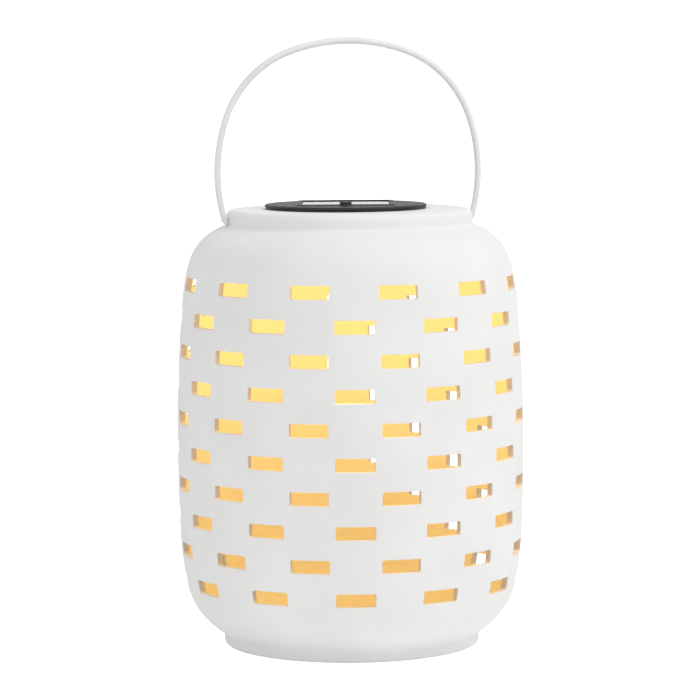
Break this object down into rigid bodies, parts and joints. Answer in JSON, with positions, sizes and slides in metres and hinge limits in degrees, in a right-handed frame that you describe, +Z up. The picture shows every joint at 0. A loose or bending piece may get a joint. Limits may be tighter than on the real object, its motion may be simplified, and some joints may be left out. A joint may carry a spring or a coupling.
{
  "type": "solar jar lantern",
  "caption": "Pierced ceramic jar lantern with a folding wire bail and a lift-out solar light that shines from inside through rows of rectangular slots.",
  "frame": {"origin": "middle of the foot ring's underside", "axes": "+Z up through the jar's axis, +X along the bail's pivot axis, the solar light's sensor towards -Y"},
  "size_m": [0.1675, 0.1674, 0.2928],
  "materials": {
    "ceramic": "matt white glaze",
    "coated_wire": "white powder coat, satin",
    "black_plastic": "fine texture",
    "seal_rubber": "matt",
    "steel": "bright zinc",
    "green_board": "solder mask",
    "silicon": "polycrystalline",
    "clear_resin": "clear cast resin",
    "smoked_lens": "clear",
    "sensor_ceramic": "lacquered",
    "chip_resin": "moulded",
    "coil_coat": "lacquered",
    "lit_led": "clear, lit",
    "lit_diffuser": "frosted, lit",
    "green_wrap": "shrink sleeve",
    "nickel": "nickel plate",
    "red_lead": "PVC",
    "black_lead": "PVC",
    "grey_lead": "PVC"
  },
  "bodies": {
    "jar": {"ceramic_jar": "ceramic"},
    "bail": {"wire_bail": "coated_wire"},
    "light": {"lid_cover": "black_plastic", "seal_ring": "seal_rubber", "light_housing": "black_plastic", "housing_screws": "steel", "panel_board": "green_board", "solar_cells": "silicon", "panel_resin": "clear_resin", "sensor_window": "smoked_lens", "light_sensor": "sensor_ceramic", "circuit_board": "green_board", "driver_chip": "chip_resin", "coil": "coil_coat", "led": "lit_led", "led_dome": "lit_diffuser", "switch_body": "steel", "battery_cell": "steel", "battery_wrap": "green_wrap", "contact_plate": "nickel", "contact_spring": "nickel", "panel_lead_red": "red_lead", "panel_lead_black": "black_lead", "sensor_leads": "grey_lead", "battery_lead_red": "red_lead", "battery_lead_black": "black_lead"},
    "switch": {"switch_slider": "black_plastic"},
    "door": {"battery_door": "black_plastic", "door_screw": "steel"}
  },
  "joints": [
    {"name": "bail_fold", "type": "hinge", "parent": "jar", "child": "bail", "pos_m": [0, 0, 0.205], "axis": [1, 0, 0], "range_deg": [-96, 96]},
    {"name": "light_lift", "type": "slide", "parent": "jar", "child": "light", "axis": [0, 0, 1], "range_m": [0, 0.06]},
    {"name": "switch_slide", "type": "slide", "parent": "light", "child": "switch", "axis": [0.9744, -0.225, 0], "range_m": [0, 0.002]},
    {"name": "door_drop", "type": "slide", "parent": "light", "child": "door", "axis": [0, 0, -1], "range_m": [0, 0.02]}
  ]
}
